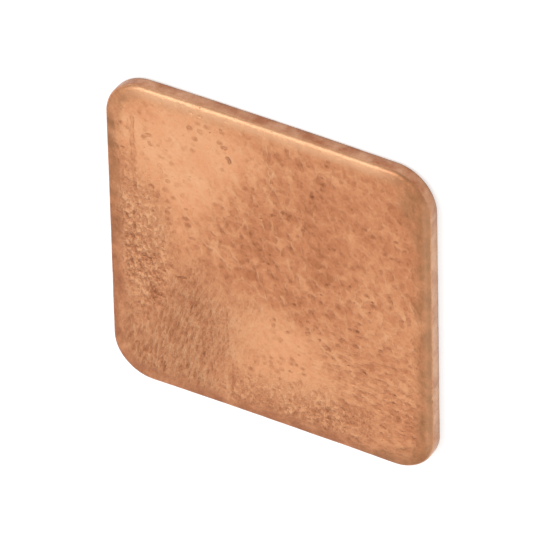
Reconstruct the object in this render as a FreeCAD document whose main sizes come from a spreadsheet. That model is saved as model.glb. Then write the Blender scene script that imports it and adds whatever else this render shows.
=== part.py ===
"""Copper shim: a square pad with rounded corners, stamped from sheet and tumbled.

The pad lies flat on the plane z = 0 and is centred on the Z axis. Its rolled face, whose rim the
die pulled down, looks up, and its burr side looks down. All sizes are in millimetres.
"""
import FreeCAD, Part
import math
import os

import Sketcher

vector = FreeCAD.Vector
doc = FreeCAD.newDocument("copper_shim")


# ---------------------------------------------------------------- driving dimensions

DIMENSIONS = {
    "side_length": (15.0, "side of the square, wall to wall"),
    "thickness": (0.8, "gauge of the sheet, face to face"),
    "corner_radius": (1.85, "radius of the four corners in plan"),
    "roll_width": (1.0, "how far in from the wall the upper face starts to fall"),
    "roll_drop": (0.13, "how far it has fallen where it would meet the wall"),
    "lip_radius": (0.22, "round between the rolled rim and the wall"),
    "burr_radius": (0.13, "tumbled round of the lower rim"),
}

sheet = doc.addObject("Spreadsheet::Sheet", "sizes")
for row, (alias, (size, meaning)) in enumerate(DIMENSIONS.items(), start=1):
    sheet.set(f"A{row}", alias)
    sheet.set(f"B{row}", str(size))
    sheet.set(f"C{row}", meaning)
    sheet.setAlias(f"B{row}", alias)
doc.recompute()


def size_of(alias):
    """The number that the sheet holds for an alias."""
    return float(getattr(sheet, alias))


# ---------------------------------------------------------------- sketching

START, END = 1, 2
ORIGIN = (-1, 1)
LEVEL_AXIS = -1


def new_sketch(body, name, role):
    """An empty sketch of a body, lying on the plane of its origin that plays the given role."""
    plane = next(plane for plane in body.Origin.OriginFeatures if plane.Role == role)
    sketch = body.newObject("Sketcher::SketchObject", name)
    sketch.AttachmentSupport = [(plane, "")]
    sketch.MapMode = "FlatFace"
    return sketch


def add_line(sketch, start, end):
    """A straight edge of a sketch, and its number there."""
    return sketch.addGeometry(Part.LineSegment(start, end), False)


def add_arc(sketch, centre, radius, start_angle, end_angle):
    """An arc of a sketch, turning left from one angle to the other, and its number there."""
    circle = Part.Circle(centre, vector(0, 0, 1), radius)
    return sketch.addGeometry(Part.ArcOfCircle(circle, start_angle, end_angle), False)


def hold(sketch, kind, *what):
    """Add one geometric rule to a sketch."""
    sketch.addConstraint(Sketcher.Constraint(kind, *what))


def dimension(sketch, name, expression, kind, *what):
    """Add a named dimension to a sketch. An expression ties it to the sheet."""
    sketch.renameConstraint(sketch.addConstraint(Sketcher.Constraint(kind, *what)), name)
    if expression:
        sketch.setExpression(f"Constraints.{name}", expression)


def draw_outline(sketch):
    """The pad's plan: a square with four equal round corners, centred on the sketch's origin.

    The right side is in two halves that meet on the level axis, so that a section swept round
    the outline starts there, square to a straight run.
    """
    half = size_of("side_length") / 2
    radius = size_of("corner_radius")
    straight = half - radius
    quarter = math.pi / 2

    def side(start_across, start_up, end_across, end_up):
        return add_line(sketch, vector(start_across, start_up, 0), vector(end_across, end_up, 0))

    def corner(across, up, turns):
        centre = vector(across * straight, up * straight, 0)
        return add_arc(sketch, centre, radius, turns * quarter, (turns + 1) * quarter)

    right_upper = side(half, 0, half, straight)
    right_top = corner(1, 1, 0)
    top = side(straight, half, -straight, half)
    left_top = corner(-1, 1, 1)
    left = side(-half, straight, -half, -straight)
    left_bottom = corner(-1, -1, 2)
    bottom = side(-straight, -half, straight, -half)
    right_bottom = corner(1, -1, 3)
    right_lower = side(half, -straight, half, 0)

    ring = (right_upper, right_top, top, left_top, left, left_bottom, bottom, right_bottom, right_lower)
    for first, second in zip(ring[:-1], ring[1:]):
        hold(sketch, "Tangent", first, END, second, START)
    hold(sketch, "Coincident", right_lower, END, right_upper, START)
    hold(sketch, "PointOnObject", right_upper, START, LEVEL_AXIS)
    for upright in (right_upper, right_lower, left):
        hold(sketch, "Vertical", upright)
    for level in (top, bottom):
        hold(sketch, "Horizontal", level)
    for arc in (left_top, left_bottom, right_bottom):
        hold(sketch, "Equal", right_top, arc)
    hold(sketch, "Symmetric", top, START, bottom, START, *ORIGIN)

    side_length = "sizes.side_length"
    dimension(sketch, "across", side_length, "DistanceX", left, START, right_upper, END, 2 * half)
    dimension(sketch, "up", side_length, "DistanceY", bottom, START, top, START, 2 * half)
    dimension(sketch, "corner", "sizes.corner_radius", "Radius", right_top, radius)


OVERRUN = 0.5  # how far the cutting section stands clear of the pad, above and beside it


def draw_roll_section(sketch):
    """What is missing over the rolled rim, in the upright plane through the right side's middle.

    Its lower edge is an arc that leaves the upper face level and reaches the wall roll_drop lower.
    """
    half = size_of("side_length") / 2
    top = size_of("thickness")
    width = size_of("roll_width")
    drop = size_of("roll_drop")
    arc_radius = (width ** 2 + drop ** 2) / (2 * drop)

    inner = vector(half - width, top, 0)
    centre = inner - vector(0, arc_radius, 0)
    wall = vector(half, top - drop, 0)
    beside = wall + vector(OVERRUN, 0, 0)
    above = inner + vector(0, OVERRUN, 0)
    beyond = vector(beside.x, above.y, 0)
    wall_angle = math.atan2(wall.y - centre.y, wall.x - centre.x)

    rim = add_arc(sketch, centre, arc_radius, wall_angle, math.pi / 2)
    ledge = add_line(sketch, wall, beside)
    outside = add_line(sketch, beside, beyond)
    roof = add_line(sketch, beyond, above)
    inside = add_line(sketch, above, inner)

    for first, second in ((ledge, outside), (outside, roof), (roof, inside)):
        hold(sketch, "Coincident", first, END, second, START)
    hold(sketch, "Coincident", rim, START, ledge, START)
    hold(sketch, "Perpendicular", inside, END, rim, END)
    for level in (ledge, roof):
        hold(sketch, "Horizontal", level)
    for upright in (outside, inside):
        hold(sketch, "Vertical", upright)

    dimension(sketch, "wall_place", "sizes.side_length / 2", "DistanceX", *ORIGIN, rim, START, half)
    dimension(sketch, "top_place", "sizes.thickness", "DistanceY", *ORIGIN, rim, END, top)
    dimension(sketch, "width", "sizes.roll_width", "DistanceX", rim, END, rim, START, width)
    dimension(sketch, "drop", "sizes.roll_drop", "DistanceY", rim, START, rim, END, drop)
    dimension(sketch, "clear_beside", None, "DistanceX", ledge, START, ledge, END, OVERRUN)
    dimension(sketch, "clear_above", None, "DistanceY", rim, END, roof, END, OVERRUN)


# ---------------------------------------------------------------- the plate

HEIGHT_TOLERANCE = 1e-4


def edges_at_height(shape, height):
    """Names of the edges of a shape that lie level at one height."""
    names = []
    for number, edge in enumerate(shape.Edges, start=1):
        box = edge.BoundBox
        if max(abs(box.ZMin - height), abs(box.ZMax - height)) < HEIGHT_TOLERANCE:
            names.append(f"Edge{number}")
    return names


def round_rim(body, name, base, height, radius_alias):
    """Round the level rim of a body's last feature at one height."""
    rim = body.newObject("PartDesign::Fillet", name)
    rim.Base = (base, edges_at_height(base.Shape, height))
    rim.setExpression("Radius", f"sizes.{radius_alias}")
    doc.recompute()
    return rim


plate = doc.addObject("PartDesign::Body", "shim_plate")
plate.Label = "shim_plate"
plate.Placement = FreeCAD.Placement(vector(0, 0, 0), FreeCAD.Rotation())

outline = new_sketch(plate, "outline", "XY_Plane")
draw_outline(outline)
blank = plate.newObject("PartDesign::Pad", "blank")
blank.Profile = outline
blank.setExpression("Length", "sizes.thickness")
doc.recompute()

roll_section = new_sketch(plate, "roll_section", "XZ_Plane")
draw_roll_section(roll_section)
roll = plate.newObject("PartDesign::SubtractivePipe", "roll")
roll.Profile = roll_section
roll.Spine = (outline, [f"Edge{number}" for number in range(1, outline.GeometryCount + 1)])
doc.recompute()

lip_height = size_of("thickness") - size_of("roll_drop")
lip = round_rim(plate, "lip", roll, lip_height, "lip_radius")
lower_rim = round_rim(plate, "lower_rim", lip, 0.0, "burr_radius")
plate.Tip = lower_rim
doc.recompute()


# ---------------------------------------------------------------- checks and export

for item in doc.Objects:
    if "Invalid" in item.State or "Error" in item.State:
        raise RuntimeError(f"{item.Name} failed to recompute: {item.State}")

steps = (blank, roll, lip, lower_rim)
for before, after in zip(steps[:-1], steps[1:]):
    if after.Shape.Volume >= before.Shape.Volume:
        raise RuntimeError(f"{after.Name} took nothing off {before.Name}")

os.makedirs("parts", exist_ok=True)
for node in (plate,):
    shape = node.Shape
    if shape.isNull() or not shape.isValid() or len(shape.Solids) != 1:
        raise RuntimeError(f"{node.Label} is not one valid solid")
    shape.exportStep(f"parts/{node.Label}.step")
    print(f"{node.Label}: {shape.Volume:.4f} mm3, {len(shape.Faces)} faces")
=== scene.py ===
import math
import bpy
from mathutils import Euler, Matrix, Vector


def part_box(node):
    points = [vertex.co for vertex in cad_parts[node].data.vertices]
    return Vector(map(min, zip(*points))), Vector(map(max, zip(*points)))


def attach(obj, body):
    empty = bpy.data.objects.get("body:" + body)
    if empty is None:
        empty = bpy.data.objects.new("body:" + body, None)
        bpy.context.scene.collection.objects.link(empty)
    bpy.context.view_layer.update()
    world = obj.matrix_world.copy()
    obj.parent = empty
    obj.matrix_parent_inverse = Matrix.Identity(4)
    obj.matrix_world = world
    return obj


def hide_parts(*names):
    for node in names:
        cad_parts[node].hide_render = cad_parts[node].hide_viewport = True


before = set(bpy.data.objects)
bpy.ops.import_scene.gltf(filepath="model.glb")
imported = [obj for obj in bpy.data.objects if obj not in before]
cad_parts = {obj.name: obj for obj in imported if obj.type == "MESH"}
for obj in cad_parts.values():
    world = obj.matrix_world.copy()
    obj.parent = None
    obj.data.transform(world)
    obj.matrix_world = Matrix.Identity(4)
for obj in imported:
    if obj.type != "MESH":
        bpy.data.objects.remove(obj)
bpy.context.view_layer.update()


# ================================================================ the shim plate
# One square of copper sheet, blanked by a punch and then tumbled. The die has pulled its upper
# rim down into a soft roll, the cut wall shows where it sheared, and tumbling has rounded the
# lower rim and left the faces pitted, scuffed and unevenly worn.
# Its colour also carries painted light: a sheen and shade across the upper face, shade on the roll,
# and a highlight along one lip.

MM = 0.001
MICRON = 0.001 * MM

plate_low, plate_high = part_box("shim_plate")
PLATE_SIZES = {
    "Side": plate_high.x - plate_low.x,
    "Thickness": plate_high.z - plate_low.z,
    "Corner Radius": 1.85 * MM,
    "Roll Width": 1.0 * MM,
    "Roll Drop": 0.13 * MM,
    "Lip Radius": 0.22 * MM,
    "Burr Radius": 0.13 * MM,
    "Bow": 70 * MICRON,
    "Swell Depth": 7 * MICRON,
    "Peel Depth": 3 * MICRON,
    "Pit Depth": 7 * MICRON,
    "Nick Depth": 5 * MICRON,
}
CELLS_ACROSS = 220
WEAR_SEED = 7


class Wire:
    """A number in a node tree, so that a chain of math nodes reads as the formula it is."""

    def __init__(self, tree, socket):
        self.tree = tree
        self.socket = socket

    def math(self, operation, *others):
        node = self.tree.nodes.new("ShaderNodeMath")
        node.operation = operation
        for slot, value in zip(node.inputs, (self, *others)):
            feed(slot, value)
        return Wire(self.tree, node.outputs[0])

    def __add__(self, other):
        return self.math("ADD", other)

    def __sub__(self, other):
        return self.math("SUBTRACT", other)

    def __mul__(self, other):
        return self.math("MULTIPLY", other)

    def __truediv__(self, other):
        return self.math("DIVIDE", other)

    def __rsub__(self, other):
        return self * -1 + other

    __radd__ = __add__
    __rmul__ = __mul__

    def least(self, other):
        return self.math("MINIMUM", other)

    def most(self, other):
        return self.math("MAXIMUM", other)

    def within(self, low, high):
        return self.most(low).least(high)

    def is_over(self, other):
        return self.math("GREATER_THAN", other)

    def fade(self, start, end):
        """0 up to start, 1 from end on, with an even S between them. It falls if end is lower."""
        node = self.tree.nodes.new("ShaderNodeMapRange")
        node.interpolation_type = "SMOOTHSTEP"
        feed(node.inputs["Value"], self)
        if end < start:
            feed(node.inputs["From Min"], end)
            feed(node.inputs["From Max"], start)
            feed(node.inputs["To Min"], 1)
            feed(node.inputs["To Max"], 0)
        else:
            feed(node.inputs["From Min"], start)
            feed(node.inputs["From Max"], end)
        return Wire(self.tree, node.outputs["Result"])


def feed(slot, value):
    """Give an input socket a wire, a socket or a plain value."""
    if isinstance(value, Wire):
        value = value.socket
    if isinstance(value, bpy.types.NodeSocket):
        slot.id_data.links.new(value, slot)
    else:
        slot.default_value = value


def add_node(tree, kind, settings=None, **inputs):
    """A node with its settings and its inputs given, the inputs by name with _ for a space."""
    node = tree.nodes.new(kind)
    for name, value in (settings or {}).items():
        setattr(node, name, value)
    for name, value in inputs.items():
        feed(node.inputs[name.replace("_", " ")], value)
    return node


def split(tree, vector):
    """The X, Y and Z of a vector, as wires."""
    node = add_node(tree, "ShaderNodeSeparateXYZ", Vector=vector)
    return [Wire(tree, socket) for socket in node.outputs]


def join(tree, x, y, z):
    """A vector from its X, Y and Z."""
    return add_node(tree, "ShaderNodeCombineXYZ", X=x, Y=y, Z=z).outputs[0]


def lumps(tree, place, per_metre, detail=2.0, roughness=0.5, curl=0.0):
    """Soft random lumps between about -1 and 1, as many to the metre as given."""
    node = add_node(tree, "ShaderNodeTexNoise", Vector=place, Scale=per_metre, Detail=detail,
                    Roughness=roughness, Distortion=curl)
    return Wire(tree, node.outputs["Fac"]) * 4 - 2


# how many swells, grains, nicks and pits lie in a metre, and how big a pit is in its own cell
SWELLS_PER_METRE = 260.0
PEEL_PER_METRE = 2600.0
NICKS_PER_METRE = 900.0
PITS_PER_METRE = 1100.0
WIDEST_PIT = 0.17
DEEPEST_PIT = 0.6
# a patch of wear or of painted light is full out to one share of its oval and gone by another, with
# a ragged edge
PATCH_FULL_WITHIN = 0.45
PATCH_GONE_BY = 1.45
PATCH_RAGS_PER_METRE = 450.0
PATCH_RAGGEDNESS = 0.22
# where each kind of wear, painted sheen and painted shade lies on the face, as ovals that add up:
# across, up, half width and half height in mm, lean in degrees, strength
WEAR_ZONES = {
    # worn smooth and painted sheen, lighter at the upper left; the negative ovals are painted shade
    # across the middle and upper right
    "rubbed_and_sheen": (
        (-3.4, 5.0, 3.6, 2.7, -20.0, 1.0),
        (-5.0, 2.2, 1.7, 3.4, 0.0, 0.6),
        (0.2, -3.9, 2.6, 2.2, 0.0, 0.80),
        (0.8, 1.7, 3.0, 3.3, 30.0, -0.85),
        (4.4, 4.6, 3.0, 2.6, 0.0, -0.6),
    ),
    "combed": ((-4.3, -4.8, 4.7, 4.0, 0.0, 1.0),),
    "pebbled": (
        (-5.8, 0.2, 1.4, 4.2, 0.0, 1.0),
        (0.9, -6.0, 3.4, 1.5, 0.0, 0.70),
    ),
    "dashed": (
        (4.6, -4.4, 4.4, 3.4, 0.0, 1.0),
        (-0.3, -6.0, 2.2, 1.1, 0.0, 0.7),
    ),
    "softened": ((4.4, 4.2, 3.0, 3.0, 0.0, 1.0),),
    "pricked": (
        (-0.4, -5.4, 3.4, 1.6, 0.0, 1.0),
        (-5.4, 1.4, 2.2, 4.6, 0.0, 1.0),
        (4.2, -5.0, 3.6, 2.6, 0.0, 1.0),
    ),
    # painted shade, tan, on the roll at two corners
    "tan_corner_shade": (
        (6.75, 5.7, 0.50, 1.4, 15.0, 0.8),
        (6.2, -6.8, 1.2, 0.5, 15.0, 0.6),
    ),
}


def make_plate_tree():
    """Geometry nodes that press and tumble the plate out of two flat grids.

    The first grid is the upper face and the whole rim: a cell's distance past the flat middle is
    its travel round the cross-section, down the roll, the lip and the wall to the lower rim. The
    second is the lower face. Square rings of both are laid on rounded squares that shrink inwards.
    """
    tree = bpy.data.node_groups.new("stamp_plate", "GeometryNodeTree")
    tree.is_modifier = True
    face = tree.interface
    for name in PLATE_SIZES:
        face.new_socket(name=name, in_out="INPUT", socket_type="NodeSocketFloat")
    for name in ("Cells", "Seed"):
        face.new_socket(name=name, in_out="INPUT", socket_type="NodeSocketInt")
    face.new_socket(name="Finish", in_out="INPUT", socket_type="NodeSocketMaterial")
    face.new_socket(name="Geometry", in_out="OUTPUT", socket_type="NodeSocketGeometry")
    given = tree.nodes.new("NodeGroupInput")
    size = {name: Wire(tree, given.outputs[name]) for name in (*PLATE_SIZES, "Cells", "Seed")}

    half = size["Side"] / 2
    corner = size["Corner Radius"]
    roll = size["Roll Width"]
    drop = size["Roll Drop"]
    lip = size["Lip Radius"]
    burr = size["Burr Radius"]

    # the cross-section: roll and lip are arcs that meet smoothly at junction, an angle from level
    roll_radius = (roll * roll + drop * drop) / (2 * drop)
    reach = roll - lip
    rise = ((roll_radius - lip) * (roll_radius - lip) - reach * reach).math("SQRT")
    junction = rise.math("ARCTAN2", reach)
    lip_centre = size["Thickness"] - roll_radius + rise
    roll_length = roll_radius * (math.pi / 2 - junction)
    lip_length = lip * junction
    wall_length = lip_centre - burr
    burr_length = burr * (math.pi / 2)
    section_length = roll_length + lip_length + wall_length + burr_length

    def rounded_square(ring, along, inward):
        """Where a point of a square ring lies on the rounded square that is so far inward.

        Returns how far it is out from the middle and how far it is along the side.
        """
        reach_out = half - inward
        radius = (corner - inward).most(0.0)
        straight = reach_out - radius
        along = along * reach_out / ring.most(1e-9)
        turn = (along - straight).most(0.0) / radius.most(1e-9) * (math.pi / 4)
        out = straight + radius * turn.math("COSINE")
        side = along.least(straight) + radius * turn.math("SINE")
        return out, side

    def sheet(half_width, inward_and_height):
        """A square grid of the given half width, bent to its place."""
        grid = add_node(tree, "GeometryNodeMeshGrid", Size_X=half_width * 2, Size_Y=half_width * 2,
                        Vertices_X=size["Cells"] + 1, Vertices_Y=size["Cells"] + 1)
        x, y, _ = split(tree, tree.nodes.new("GeometryNodeInputPosition").outputs[0])
        across = x.math("ABSOLUTE")
        up = y.math("ABSOLUTE")
        ring = across.most(up)
        along = across.least(up)
        inward, height, travel = inward_and_height(ring)
        out, side = rounded_square(ring, along, inward)
        wide = across.is_over(up)
        new_x = (side + (out - side) * wide) * x.math("SIGN")
        new_y = (out + (side - out) * wide) * y.math("SIGN")
        marked = add_node(tree, "GeometryNodeStoreNamedAttribute",
                          {"data_type": "FLOAT", "domain": "POINT"},
                          Geometry=grid.outputs["Mesh"], Name="rim_travel", Value=travel)
        moved = add_node(tree, "GeometryNodeSetPosition", Geometry=marked.outputs[0],
                         Position=join(tree, new_x, new_y, height))
        return moved.outputs[0]

    def over_the_rim(ring):
        """Inward distance, height and travel of a ring of the upper face and rim."""
        travel = (ring - (half - roll)).most(0.0)
        on_roll = travel.least(roll_length) / roll_radius
        on_lip = junction - (travel - roll_length).within(0.0, lip_length) / lip
        on_wall = (travel - roll_length - lip_length).within(0.0, wall_length)
        past_wall = travel - roll_length - lip_length - wall_length
        on_burr = past_wall.within(0.0, burr_length) / burr
        inward = (half - ring).most(roll) - roll_radius * on_roll.math("SINE")
        inward = inward - lip * (on_lip.math("COSINE") - junction.math("COSINE"))
        inward = inward + burr * (1 - on_burr.math("COSINE"))
        height = size["Thickness"] - roll_radius * (1 - on_roll.math("COSINE"))
        height = height - lip * (junction.math("SINE") - on_lip.math("SINE"))
        height = height - on_wall - burr * on_burr.math("SINE")
        return inward, height, travel

    def under_face(ring):
        """Inward distance, height and travel of a ring of the lower face."""
        return half - ring, ring * 0, section_length + (half - burr - ring)

    upper = sheet(half - roll + section_length, over_the_rim)
    lower = add_node(tree, "GeometryNodeFlipFaces", Mesh=sheet(half - burr, under_face)).outputs[0]
    both = tree.nodes.new("GeometryNodeJoinGeometry")
    for part in (upper, lower):
        tree.links.new(part, both.inputs[0])
    shell = add_node(tree, "GeometryNodeMergeByDistance", Geometry=both.outputs[0],
                     Distance=1 * MICRON).outputs[0]

    # tumbling: long swells, an orange peel, scattered pits, and nicks along the lip, which lies
    # about 1 mm of travel round the section from the flat
    place = tree.nodes.new("GeometryNodeInputPosition").outputs[0]
    shift = add_node(tree, "ShaderNodeVectorMath", {"operation": "ADD"})
    tree.links.new(place, shift.inputs[0])
    feed(shift.inputs[1], join(tree, size["Seed"] * MM, size["Seed"] * 2 * MM, 0.0))
    place = shift.outputs[0]
    travel = Wire(tree, add_node(tree, "GeometryNodeInputNamedAttribute", {"data_type": "FLOAT"},
                                 Name="rim_travel").outputs["Attribute"])
    at_lip = travel.fade(0.3 * MM, 0.8 * MM) * travel.fade(1.9 * MM, 1.5 * MM)
    relief = lumps(tree, place, SWELLS_PER_METRE) * size["Swell Depth"]
    relief = relief + lumps(tree, place, PEEL_PER_METRE, detail=3.0) * size["Peel Depth"]
    nicks = lumps(tree, place, NICKS_PER_METRE).most(0.0)
    relief = relief - nicks * at_lip * size["Nick Depth"]
    pits = add_node(tree, "ShaderNodeTexVoronoi", Vector=place, Scale=PITS_PER_METRE)
    pit_size = split(tree, pits.outputs["Color"])[0].fade(0.45, 1.0) * WIDEST_PIT
    pit_floor = (1 - Wire(tree, pits.outputs["Distance"]) / pit_size.most(0.01)).most(0.0)
    relief = relief - pit_floor.least(DEEPEST_PIT) * size["Pit Depth"]
    relief = relief - size["Swell Depth"] - size["Peel Depth"]
    bent = split(tree, tree.nodes.new("GeometryNodeInputPosition").outputs[0])[0] / half
    outward = add_node(tree, "ShaderNodeVectorMath", {"operation": "SCALE"}, Scale=relief)
    tree.links.new(tree.nodes.new("GeometryNodeInputNormal").outputs[0], outward.inputs[0])
    worn = add_node(tree, "GeometryNodeSetPosition", Geometry=shell, Offset=outward.outputs[0])
    bowed = add_node(tree, "GeometryNodeSetPosition", Geometry=worn.outputs[0],
                     Offset=join(tree, 0.0, 0.0, bent * bent * size["Bow"]))

    # handling and painted light: each kind of wear, and the painted sheen and shade, is marked on
    # the skin for the material to read
    marked = bowed.outputs[0]
    x, y, _ = split(tree, tree.nodes.new("GeometryNodeInputPosition").outputs[0])
    ragged = lumps(tree, place, PATCH_RAGS_PER_METRE, detail=4.0, roughness=0.6)
    ragged = ragged * PATCH_RAGGEDNESS
    for name, ovals in WEAR_ZONES.items():
        amount = 0.0
        for oval_x, oval_y, half_width, half_height, lean, strength in ovals:
            turned = math.radians(lean)
            from_x = x - oval_x * MM
            from_y = y - oval_y * MM
            along = (from_x * math.cos(turned) + from_y * math.sin(turned)) / (half_width * MM)
            beside = (from_y * math.cos(turned) - from_x * math.sin(turned)) / (half_height * MM)
            away = (along * along + beside * beside).math("SQRT") + ragged
            amount = away.fade(PATCH_GONE_BY, PATCH_FULL_WITHIN) * strength + amount
        marked = add_node(tree, "GeometryNodeStoreNamedAttribute",
                          {"data_type": "FLOAT", "domain": "POINT"},
                          Geometry=marked, Name=name, Value=amount).outputs[0]

    smooth = add_node(tree, "GeometryNodeSetShadeSmooth", Geometry=marked)
    real = add_node(tree, "GeometryNodeRealizeInstances", Geometry=smooth.outputs[0])
    finished = add_node(tree, "GeometryNodeSetMaterial", Geometry=real.outputs[0],
                        Material=given.outputs["Finish"])
    end = tree.nodes.new("NodeGroupOutput")
    tree.links.new(finished.outputs[0], end.inputs[0])
    return tree


def paint(red, green, blue):
    """A colour given as on a paint chart, 0 to 255, in the linear values that shaders take."""
    def linear(level):
        share = level / 255
        return share / 12.92 if share <= 0.04045 else ((share + 0.055) / 1.055) ** 2.4
    return (linear(red), linear(green), linear(blue), 1.0)


# tones of the bare metal, from tarnish in the deepest pits to a rubbed high spot
METAL_TONES = (
    (0.00, paint(126, 74, 46)),
    (0.25, paint(190, 120, 80)),
    (0.50, paint(217, 144, 102)),
    (0.75, paint(238, 168, 122)),
    (1.00, paint(248, 188, 142)),
)
# scratches and creases: across, up, length and width in mm, lean in degrees, depth
SCRATCHES = (
    (-6.15, 3.6, 4.6, 0.12, 91.0, 0.55),
    (-6.22, 0.4, 1.4, 0.09, 90.0, 0.75),
    (0.2, 5.8, 1.8, 0.08, 92.0, 0.4),
    (-2.0, -3.4, 2.1, 0.06, 91.0, 0.5),
    (-1.8, -5.9, 1.6, 0.06, 86.0, 0.5),
    (-4.1, -1.5, 0.45, 0.09, 3.0, 0.9),
    (-5.7, -1.0, 0.40, 0.07, 0.0, 0.6),
    (-5.3, -2.7, 0.35, 0.30, 40.0, 0.7),
    (-1.9, 5.9, 0.08, 0.16, 0.0, 0.8),
    (-1.75, 5.3, 0.16, 0.14, 120.0, 1.0),
    (-3.5, 6.3, 0.05, 0.14, 0.0, 0.6),
    (-3.0, 6.3, 0.05, 0.14, 0.0, 0.6),
    (-5.5, 5.2, 0.30, 0.12, 20.0, 0.7),
    (3.4, -1.9, 0.10, 0.16, 30.0, 0.8),
    (2.6, -2.6, 0.20, 0.16, 150.0, 0.8),
    (1.8, -2.2, 0.14, 0.12, 0.0, 0.7),
)
WALL_RUDDY = paint(160, 102, 72)
# also paints the right wall paler, a painted sheen
WALL_TAN = paint(206, 162, 130)
# the next two are painted shade on the roll, tan and ruddy, with blotchy tarnish
ROLL_SHADE_TAN = paint(188, 130, 90)
ROLL_SHADE_RUDDY = paint(188, 120, 84)
# a painted highlight on the lip
LIP_HIGHLIGHT_PAINT = paint(252, 196, 152)
# darker towards the lower rim and under the plate
LOWER_RIM_DARKER = paint(120, 88, 66)
# how strong each kind of grain is beside the orange peel
STROKE_STRENGTH = 1.9
DASH_STRENGTH = 1.9
PEBBLE_STRENGTH = 2.5
WIDEST_SPECK = 0.48
WIDEST_PRICK = 0.60
# the tone of plain metal, and how far each mark takes it up or down the tones
PLAIN_TONE = 0.64
# lightening by wear and by painted sheen
WEAR_AND_SHEEN_LIGHTENS = 0.16
CLOUD_CONTRAST = 0.12
GRAIN_CONTRAST = 0.21
FINE_CONTRAST = 0.08
SPECK_DARKENS = 0.32
MARK_DARKENS = 0.28
# how dull the plain metal is, and what each kind of wear adds
PLAIN_DULLNESS = 0.27
ROUGHENED_DULLS = 0.08
GRAIN_DULLS = 0.02
LIP_DULLS = 0.13
GRAIN_DEPTH = 24 * MICRON


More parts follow.
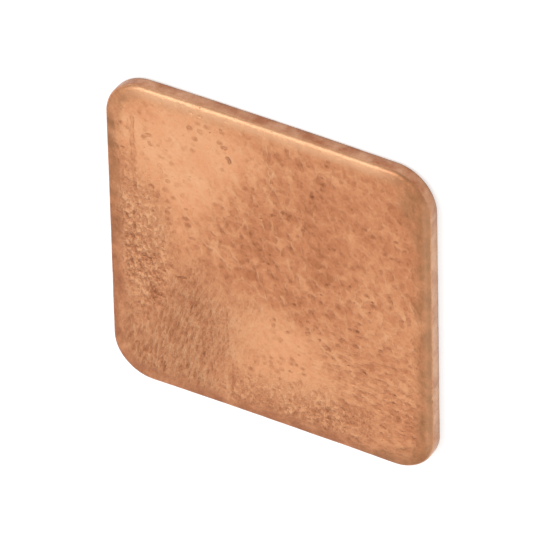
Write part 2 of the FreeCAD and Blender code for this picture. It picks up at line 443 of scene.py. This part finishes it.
def make_copper():
    """Tumbled copper: bright where it is worn smooth or a painted sheen falls, ruddier and duller
    where it is mottled, with painted shade on the roll and a painted highlight on one lip.
    """
    material = bpy.data.materials.new("tumbled_copper")
    material.use_nodes = True
    tree = material.node_tree
    tree.nodes.clear()
    place = tree.nodes.new("ShaderNodeTexCoord").outputs["Object"]
    travel = Wire(tree, add_node(tree, "ShaderNodeAttribute",
                                 {"attribute_name": "rim_travel"}).outputs["Fac"])

    def blend(start, end, amount):
        # a Mix node has its two colour sockets after those for numbers and vectors
        node = add_node(tree, "ShaderNodeMix", {"data_type": "RGBA"})
        feed(node.inputs["Factor"], amount)
        feed(node.inputs[6], start)
        feed(node.inputs[7], end)
        return node.outputs[2]

    def leaning(degrees, stretch, across=0.0, up=0.0):
        """The place on the plate, turned to a leaning line through a point, squeezed along it."""
        return add_node(tree, "ShaderNodeMapping", {"vector_type": "TEXTURE"}, Vector=place,
                        Location=Vector((across * MM, up * MM, 0.0)),
                        Rotation=Euler((0.0, 0.0, math.radians(degrees))),
                        Scale=Vector((stretch, 1.0, 1.0))).outputs[0]

    def zone(name):
        """How much of one kind of wear or painted light there is, as the stamping marked it."""
        mark = add_node(tree, "ShaderNodeAttribute", {"attribute_name": name})
        return Wire(tree, mark.outputs["Fac"])

    def scratch(across, up, length, width, lean):
        """1 on a short mark of the face, fading to 0 a width away."""
        along, beside, _ = split(tree, leaning(lean, 1.0, across, up))
        past_end = (along.math("ABSOLUTE") - length * MM / 2).most(0.0)
        beside = beside + shiver * (0.7 * width * MM)
        away = (past_end * past_end + beside * beside).math("SQRT")
        return away.fade(width * MM, width * MM * 0.2)

    on_roll = travel.fade(0.05 * MM, 0.60 * MM)
    shiver = lumps(tree, place, per_metre=1800.0)
    # wear together with painted sheen, and painted shade where the ovals are negative
    worn = zone("rubbed_and_sheen")
    rubbed_and_sheen = worn.within(0.0, 1.0)

    # the lower left is combed by fine strokes, the left side is pebbled, the lower right is
    # dented by short level dashes, and the rest is a soft orange peel
    combed = zone("combed")
    pebbled = zone("pebbled")
    dashed = zone("dashed")
    peel = lumps(tree, leaning(-66.0, 1.3), per_metre=2700.0, detail=2.5, curl=0.45)
    strokes = lumps(tree, leaning(74.0, 3.2), per_metre=8000.0, detail=3.0, roughness=0.6)
    pebbles = lumps(tree, leaning(80.0, 1.25), per_metre=5600.0, detail=3.0, roughness=0.6)
    dashes = lumps(tree, leaning(-6.0, 1.8), per_metre=3700.0, detail=3.0, roughness=0.55)
    # tumbling has flattened the tops of the pebbles and of the ridges between the dashes
    pebbles = pebbles.least(0.4)
    dashes = dashes.least(0.25)
    peel = peel * (1.35 - zone("softened") * 0.35)
    grain = peel + (strokes * STROKE_STRENGTH - peel) * combed
    grain = grain + (dashes * DASH_STRENGTH - grain) * dashed * 0.75
    grain = grain + (pebbles * PEBBLE_STRENGTH + 0.15 - grain) * pebbled
    roughened = (1 - rubbed_and_sheen * 0.74) * (1 - on_roll * 0.45)
    broad = lumps(tree, leaning(-50.0, 1.6), per_metre=900.0, detail=3.0, roughness=0.55)
    fine = lumps(tree, place, per_metre=7500.0, detail=3.0, roughness=0.6)

    specks = add_node(tree, "ShaderNodeTexVoronoi", Vector=leaning(-12.0, 1.2), Scale=3300.0)
    speck_size = split(tree, specks.outputs["Color"])[0].fade(0.30, 1.0) * WIDEST_SPECK
    near_speck = Wire(tree, specks.outputs["Distance"]) + fine * 0.07
    speck = (1 - near_speck / speck_size.most(0.01)).within(0.0, 1.0)
    speck = speck * lumps(tree, place, per_metre=380.0).fade(-0.7, 0.6)
    pricks = add_node(tree, "ShaderNodeTexVoronoi", Vector=leaning(-20.0, 1.2), Scale=4000.0)
    prick_size = split(tree, pricks.outputs["Color"])[1].fade(0.25, 1.0) * WIDEST_PRICK
    near_prick = Wire(tree, pricks.outputs["Distance"]) + fine * 0.05
    prick = (1 - near_prick / prick_size.most(0.01)).within(0.0, 1.0)
    prick = prick * lumps(tree, place, per_metre=800.0).fade(-0.8, 0.4)
    speck = speck.most(prick * zone("pricked").within(0.25, 0.8))

    marks = 0.0
    for across, up, length, width, lean, depth in SCRATCHES:
        marks = (scratch(across, up, length, width, lean) * depth).most(marks)

    # wear and painted sheen raise the tone, painted shade lowers it, and clouds, grain, specks and
    # marks vary it
    tone = PLAIN_TONE + worn * WEAR_AND_SHEEN_LIGHTENS + broad * CLOUD_CONTRAST
    tone = tone + grain * roughened * GRAIN_CONTRAST + fine * FINE_CONTRAST
    tone = tone - speck * SPECK_DARKENS - marks * MARK_DARKENS
    ramp = add_node(tree, "ShaderNodeValToRGB", Fac=tone)
    stops = ramp.color_ramp.elements
    while len(stops) < len(METAL_TONES):
        stops.new(0.5)
    for stop, (position, colour) in zip(stops, METAL_TONES):
        stop.position = position
        stop.color = colour
    metal = ramp.outputs["Color"]

    # the rim: painted shade on the roll, tan or ruddy and blotched with tarnish, a painted
    # highlight on one side's lip, and a blotched wall painted paler on one side; across and up are
    # measured from the middle of the plate, travel from the edge of the flat
    across, up, _ = split(tree, place)
    blotches = lumps(tree, place, per_metre=1100.0, detail=4.0, roughness=0.65)
    # the upper side, whose lip gets a painted highlight and whose roll gets no painted shade
    highlight_side = up.fade(5.9 * MM, 6.9 * MM)
    highlight_side = highlight_side * across.fade(6.6 * MM, 4.6 * MM) * across.fade(-6.9 * MM, -5.4 * MM)
    # the right side, with a weaker painted highlight on its lip and a wall painted paler as a sheen
    right_sheen_side = across.fade(7.0 * MM, 7.4 * MM)
    # where the painted shade on the roll is tan rather than ruddy
    tan_shade_side = across.fade(3.0 * MM, 6.4 * MM).most(up.fade(-3.0 * MM, 4.0 * MM))
    on_lip = travel.fade(0.30 * MM, 0.80 * MM) * travel.fade(1.22 * MM, 0.92 * MM)
    on_wall = travel.fade(0.94 * MM, 1.12 * MM)
    # painted shade on the roll, with blotchy tarnish, kept off the upper side
    shade_and_tarnish_on_roll = on_roll * (1 - highlight_side) * (0.55 + blotches * 0.9).within(0.0, 1.0)
    metal = blend(metal, blend(ROLL_SHADE_RUDDY, ROLL_SHADE_TAN, tan_shade_side), shade_and_tarnish_on_roll)
    # tan painted shade on the roll at two corners
    metal = blend(metal, ROLL_SHADE_TAN, zone("tan_corner_shade") * (0.75 + blotches * 0.6).within(0.0, 1.0))
    # a painted highlight on the upper lip, and a weaker one on the right lip
    lip_highlight = on_lip * highlight_side * (0.85 + blotches * 0.2).within(0.0, 1.0)
    metal = blend(metal, LIP_HIGHLIGHT_PAINT, lip_highlight.most(on_lip * right_sheen_side * 0.40))
    # the wall: blotched, and painted paler on the right side as a sheen
    wall = blend(WALL_RUDDY, WALL_TAN, (0.30 + right_sheen_side * 0.45 + blotches * 0.6).within(0.0, 1.0))
    metal = blend(metal, wall, on_wall)
    # darker towards the lower rim and under the plate
    metal = blend(metal, LOWER_RIM_DARKER, travel.fade(1.38 * MM, 1.66 * MM) * 0.65)

    # the heights below are shares of the grain's depth
    edge_rest = 1 - on_lip * 0.75
    height = grain * roughened * edge_rest * 0.7 + broad * 0.5 + fine * 0.15 - speck - marks
    bump = add_node(tree, "ShaderNodeBump", Strength=1.0, Distance=GRAIN_DEPTH, Height=height)
    roughness = PLAIN_DULLNESS + roughened * ROUGHENED_DULLS + grain * GRAIN_DULLS
    roughness = roughness + on_lip * LIP_DULLS
    surface = add_node(tree, "ShaderNodeBsdfPrincipled", Base_Color=metal, Metallic=1.0,
                       Roughness=roughness, Normal=bump.outputs[0])
    output = tree.nodes.new("ShaderNodeOutputMaterial")
    tree.links.new(surface.outputs[0], output.inputs["Surface"])
    return material


def stamp_plate(name, material):
    """Run the plate's nodes and keep the result as a plain mesh."""
    blank = bpy.data.objects.new("blank", bpy.data.meshes.new("blank"))
    bpy.context.scene.collection.objects.link(blank)
    stamping = blank.modifiers.new("stamping", "NODES")
    stamping.node_group = make_plate_tree()
    values = dict(PLATE_SIZES, Cells=CELLS_ACROSS, Seed=WEAR_SEED, Finish=material)
    for item in stamping.node_group.interface.items_tree:
        if item.in_out == "INPUT":
            stamping[item.identifier] = values[item.name]
    evaluated = blank.evaluated_get(bpy.context.evaluated_depsgraph_get())
    mesh = bpy.data.meshes.new_from_object(evaluated)
    mesh.name = name
    bpy.data.objects.remove(blank)
    plate = bpy.data.objects.new(name, mesh)
    bpy.context.scene.collection.objects.link(plate)
    return plate


copper_plate = stamp_plate("copper_plate", make_copper())
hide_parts("shim_plate")
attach(copper_plate, "root")


# ================================================================ the table
# A plain pale table top that the shim lies on. It is only there to stand the shim on: a smooth
# matt white board, with the shim's own faint shadow on it.

TABLE_HALF_WIDTH = 0.6
TABLE_WHITE = paint(242, 242, 242)
TABLE_GLOW = 0.58

table_mesh = bpy.data.meshes.new("table_top")
table_corners = [(-1, -1), (1, -1), (1, 1), (-1, 1)]
table_mesh.from_pydata([(TABLE_HALF_WIDTH * x, TABLE_HALF_WIDTH * y, plate_low.z)
                        for x, y in table_corners], [], [(0, 1, 2, 3)])
table_top = bpy.data.objects.new("table_top", table_mesh)
bpy.context.scene.collection.objects.link(table_top)

table_paint = bpy.data.materials.new("matt_white")
table_paint.use_nodes = True
table_tree = table_paint.node_tree
table_tree.nodes.clear()
ray = table_tree.nodes.new("ShaderNodeLightPath").outputs
seen = Wire(table_tree, ray["Is Camera Ray"]).most(Wire(table_tree, ray["Is Glossy Ray"]))
seen = seen.most(Wire(table_tree, ray["Is Transmission Ray"]))
board = add_node(table_tree, "ShaderNodeBsdfDiffuse", Color=TABLE_WHITE)
glow = add_node(table_tree, "ShaderNodeEmission", Color=(1.0, 1.0, 1.0, 1.0),
                Strength=seen * TABLE_GLOW)
lit_board = table_tree.nodes.new("ShaderNodeAddShader")
table_tree.links.new(board.outputs[0], lit_board.inputs[0])
table_tree.links.new(glow.outputs[0], lit_board.inputs[1])
table_output = table_tree.nodes.new("ShaderNodeOutputMaterial")
table_tree.links.new(lit_board.outputs[0], table_output.inputs["Surface"])
table_mesh.materials.append(table_paint)


# ================================================================ the light
# Soft studio light: a pale room all round, one dim softbox over the far side that the upper
# face mirrors, and one brighter softbox overhead that draws the bright line along one rim.

ROOM_BRIGHTNESS = 0.60

world = bpy.data.worlds.new("pale_room")
world.use_nodes = True
world_tree = world.node_tree
world_tree.nodes["Background"].inputs["Color"].default_value = (1.0, 1.0, 1.0, 1.0)
world_tree.nodes["Background"].inputs["Strength"].default_value = ROOM_BRIGHTNESS
bpy.context.scene.world = world


def hang_softbox(name, direction, distance, width, length, long_way, brightness):
    """A rectangular softbox aimed at the shim, its length along the given direction.

    Its brightness is how it looks in a mirror, where the white of the table is 1.
    """
    lamp = bpy.data.lights.new(name, "AREA")
    lamp.shape = "RECTANGLE"
    lamp.size = width
    lamp.size_y = length
    lamp.energy = brightness * math.pi * width * length
    softbox = bpy.data.objects.new(name, lamp)
    bpy.context.scene.collection.objects.link(softbox)
    back = Vector(direction).normalized()
    side = Vector(long_way).cross(back).normalized()
    up = back.cross(side)
    turn = Matrix((side, up, back)).transposed().to_4x4()
    softbox.matrix_world = Matrix.Translation(back * distance) @ turn
    return softbox


hang_softbox("broad_softbox", direction=(-0.40, -0.62, 0.68), distance=0.30, width=0.16,
             length=0.16, long_way=(0, 1, 0), brightness=0.45)
hang_softbox("strip_softbox", direction=(-0.40, 0.28, 0.87), distance=0.30, width=0.19,
             length=0.16, long_way=(1, 0, 0), brightness=1.8)


# ================================================================ the camera
# A long lens well back from the shim, so that its opposite sides look parallel. It looks down on
# the upper face and is turned about its own line of sight, so that one side of the shim is upright.

CAMERA_ELEVATION = math.radians(42.51)
CAMERA_BEARING = math.radians(56.60)
CAMERA_ROLL = math.radians(-137.12)
CAMERA_DISTANCE = 0.4036
AIM_OFF_CENTRE = Vector((-0.00013, -0.00030, 0.0))
SENSOR_WIDTH = 36.0
LENS = 656.9

camera_back = Vector((math.cos(CAMERA_BEARING) * math.cos(CAMERA_ELEVATION),
                      math.sin(CAMERA_BEARING) * math.cos(CAMERA_ELEVATION),
                      math.sin(CAMERA_ELEVATION)))
level_right = Vector((0, 0, 1)).cross(camera_back).normalized()
level_up = camera_back.cross(level_right)
camera_turn = Matrix((level_right, level_up, camera_back)).transposed()
camera_turn = camera_turn @ Matrix.Rotation(CAMERA_ROLL, 3, "Z")
camera_data = bpy.data.cameras.new("camera")
camera_data.sensor_width = SENSOR_WIDTH
camera_data.lens = LENS
camera_data.clip_start = 0.01
camera_data.clip_end = 10.0
camera = bpy.data.objects.new("camera", camera_data)
bpy.context.scene.collection.objects.link(camera)
camera_place = camera_turn @ AIM_OFF_CENTRE + camera_back * CAMERA_DISTANCE
camera.matrix_world = Matrix.Translation(camera_place) @ camera_turn.to_4x4()
bpy.context.scene.camera = camera

bpy.context.scene.view_settings.view_transform = "Standard"
